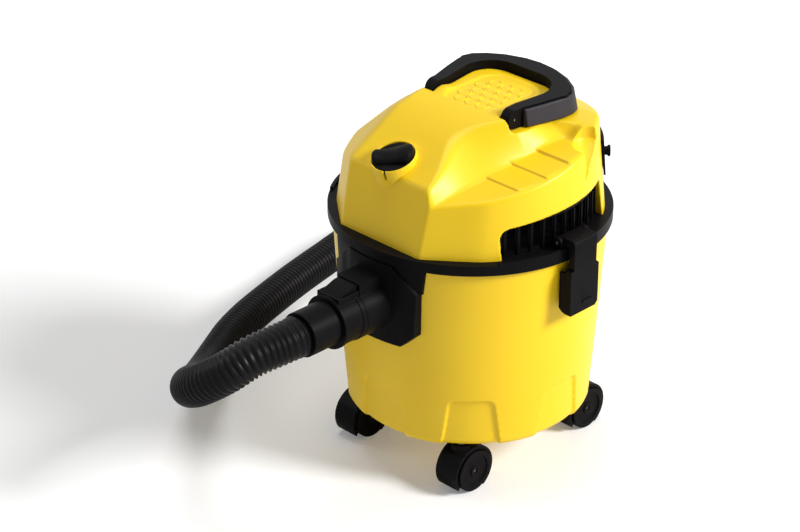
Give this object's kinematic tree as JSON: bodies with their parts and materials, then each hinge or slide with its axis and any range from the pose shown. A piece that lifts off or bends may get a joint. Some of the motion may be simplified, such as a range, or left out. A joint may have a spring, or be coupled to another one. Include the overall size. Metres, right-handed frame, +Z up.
{
  "type": "wet and dry vacuum cleaner",
  "caption": "Compact drum vacuum with a lift-off motor head, folding carry handle, rotary switch, side latches, casters and a ribbed hose.",
  "frame": {"origin": "on the floor, under the middle of the machine's overall length and width, measured without the hose", "axes": "+Z up, -Y towards the hose inlet at the front, +X to the machine's right as seen from its front inlet side looking rearwards"},
  "size_m": [0.6034, 0.7645, 0.4313],
  "materials": {
    "yellow_plastic": "satin moulded",
    "black_plastic": "fine grained",
    "grip_plastic": "soft touch",
    "hose_plastic": "ribbed, semi-matte",
    "seal_rubber": "matte",
    "steel": "plain",
    "aluminium": "pressed sheet",
    "copper": "enamelled winding",
    "filter_paper": "pleated",
    "float_plastic": "plain"
  },
  "bodies": {
    "tank": {"tank_drum": "yellow_plastic", "inlet_plate": "black_plastic", "inlet_deflector": "black_plastic", "latch_keepers": "black_plastic", "caster_bushes": "steel"},
    "head": {"head_base": "black_plastic", "rim_seal": "seal_rubber", "head_cover": "yellow_plastic", "rear_panel": "black_plastic", "cable_hooks": "black_plastic", "cable_gland": "black_plastic", "head_screws": "steel", "switch_body": "black_plastic", "fan_housing": "steel", "motor_gasket": "seal_rubber", "motor_bracket": "black_plastic", "motor_stator": "steel", "motor_bearings": "steel", "brush_holders": "copper", "filter_cage": "black_plastic", "cartridge_filter": "filter_paper", "filter_cap": "black_plastic", "handle_bearings": "black_plastic", "latch_pins": "steel"},
    "rotor": {"motor_shaft": "steel", "motor_armature": "copper", "commutator": "copper", "fan_impeller": "aluminium", "cooling_fan": "black_plastic"},
    "float": {"shutoff_float": "float_plastic"},
    "handle": {"carry_handle": "black_plastic", "handle_grip": "grip_plastic", "handle_pins": "steel"},
    "switch": {"switch_knob": "black_plastic"},
    "latch_right": {"latch_right": "black_plastic"},
    "latch_left": {"latch_left": "black_plastic"},
    "hose_end": {"hose_connector": "black_plastic", "lock_spring": "steel", "hose_cuff": "black_plastic", "hose_tube": "hose_plastic", "hose_end_cuff": "black_plastic"},
    "lock_button": {"lock_button": "black_plastic"},
    "caster_front_right_fork": {"caster_front_right_housing": "black_plastic", "caster_front_right_stem": "steel"},
    "caster_front_right_wheels": {"caster_front_right_wheels": "black_plastic", "caster_front_right_axle": "steel"},
    "caster_front_left_fork": {"caster_front_left_housing": "black_plastic", "caster_front_left_stem": "steel"},
    "caster_front_left_wheels": {"caster_front_left_wheels": "black_plastic", "caster_front_left_axle": "steel"},
    "caster_rear_right_fork": {"caster_rear_right_housing": "black_plastic", "caster_rear_right_stem": "steel"},
    "caster_rear_right_wheels": {"caster_rear_right_wheels": "black_plastic", "caster_rear_right_axle": "steel"},
    "caster_rear_left_fork": {"caster_rear_left_housing": "black_plastic", "caster_rear_left_stem": "steel"},
    "caster_rear_left_wheels": {"caster_rear_left_wheels": "black_plastic", "caster_rear_left_axle": "steel"}
  },
  "joints": [
    {"name": "head_lift", "type": "slide", "parent": "tank", "child": "head", "axis": [0, 0, 1], "range_m": [0, 0.15]},
    {"name": "rotor_spin", "type": "hinge", "parent": "head", "child": "rotor", "pos_m": [0, 0.015, 0.35], "axis": [0, 0, 1], "continuous": true},
    {"name": "float_rise", "type": "slide", "parent": "head", "child": "float", "axis": [0, 0, 1], "range_m": [0, 0.03]},
    {"name": "handle_fold", "type": "hinge", "parent": "head", "child": "handle", "pos_m": [0, 0.017, 0.4165], "axis": [1, 0, 0], "range_deg": [0, 90]},
    {"name": "switch_turn", "type": "hinge", "parent": "head", "child": "switch", "pos_m": [-0.008, -0.098, 0.386], "axis": [0, -0.342, 0.9397], "range_deg": [0, 90]},
    {"name": "latch_right_swing", "type": "hinge", "parent": "head", "child": "latch_right", "pos_m": [0.15, 0.015, 0.307], "axis": [0, -1, 0], "range_deg": [0, 90]},
    {"name": "latch_left_swing", "type": "hinge", "parent": "head", "child": "latch_left", "pos_m": [-0.15, 0.015, 0.307], "axis": [0, 1, 0], "range_deg": [0, 90]},
    {"name": "hose_pull", "type": "slide", "parent": "tank", "child": "hose_end", "axis": [0, -1, 0], "range_m": [0, 0.06]},
    {"name": "lock_press", "type": "slide", "parent": "hose_end", "child": "lock_button", "axis": [0, 0, -1], "range_m": [0, 0.002], "stiffness_N_per_m": 900, "springref_m": -0.001, "deforming": ["lock_spring"]},
    {"name": "caster_front_right_swivel", "type": "hinge", "parent": "tank", "child": "caster_front_right_fork", "pos_m": [0.082, -0.081, 0.06], "axis": [0, 0, 1], "continuous": true},
    {"name": "caster_front_right_roll", "type": "hinge", "parent": "caster_front_right_fork", "child": "caster_front_right_wheels", "pos_m": [0.082, -0.076, 0.025], "axis": [1, 0, 0], "continuous": true},
    {"name": "caster_front_left_swivel", "type": "hinge", "parent": "tank", "child": "caster_front_left_fork", "pos_m": [-0.082, -0.081, 0.06], "axis": [0, 0, 1], "continuous": true},
    {"name": "caster_front_left_roll", "type": "hinge", "parent": "caster_front_left_fork", "child": "caster_front_left_wheels", "pos_m": [-0.082, -0.076, 0.025], "axis": [1, 0, 0], "continuous": true},
    {"name": "caster_rear_right_swivel", "type": "hinge", "parent": "tank", "child": "caster_rear_right_fork", "pos_m": [0.082, 0.111, 0.06], "axis": [0, 0, 1], "continuous": true},
    {"name": "caster_rear_right_roll", "type": "hinge", "parent": "caster_rear_right_fork", "child": "caster_rear_right_wheels", "pos_m": [0.082, 0.116, 0.025], "axis": [1, 0, 0], "continuous": true},
    {"name": "caster_rear_left_swivel", "type": "hinge", "parent": "tank", "child": "caster_rear_left_fork", "pos_m": [-0.082, 0.111, 0.06], "axis": [0, 0, 1], "continuous": true},
    {"name": "caster_rear_left_roll", "type": "hinge", "parent": "caster_rear_left_fork", "child": "caster_rear_left_wheels", "pos_m": [-0.082, 0.116, 0.025], "axis": [1, 0, 0], "continuous": true}
  ]
}
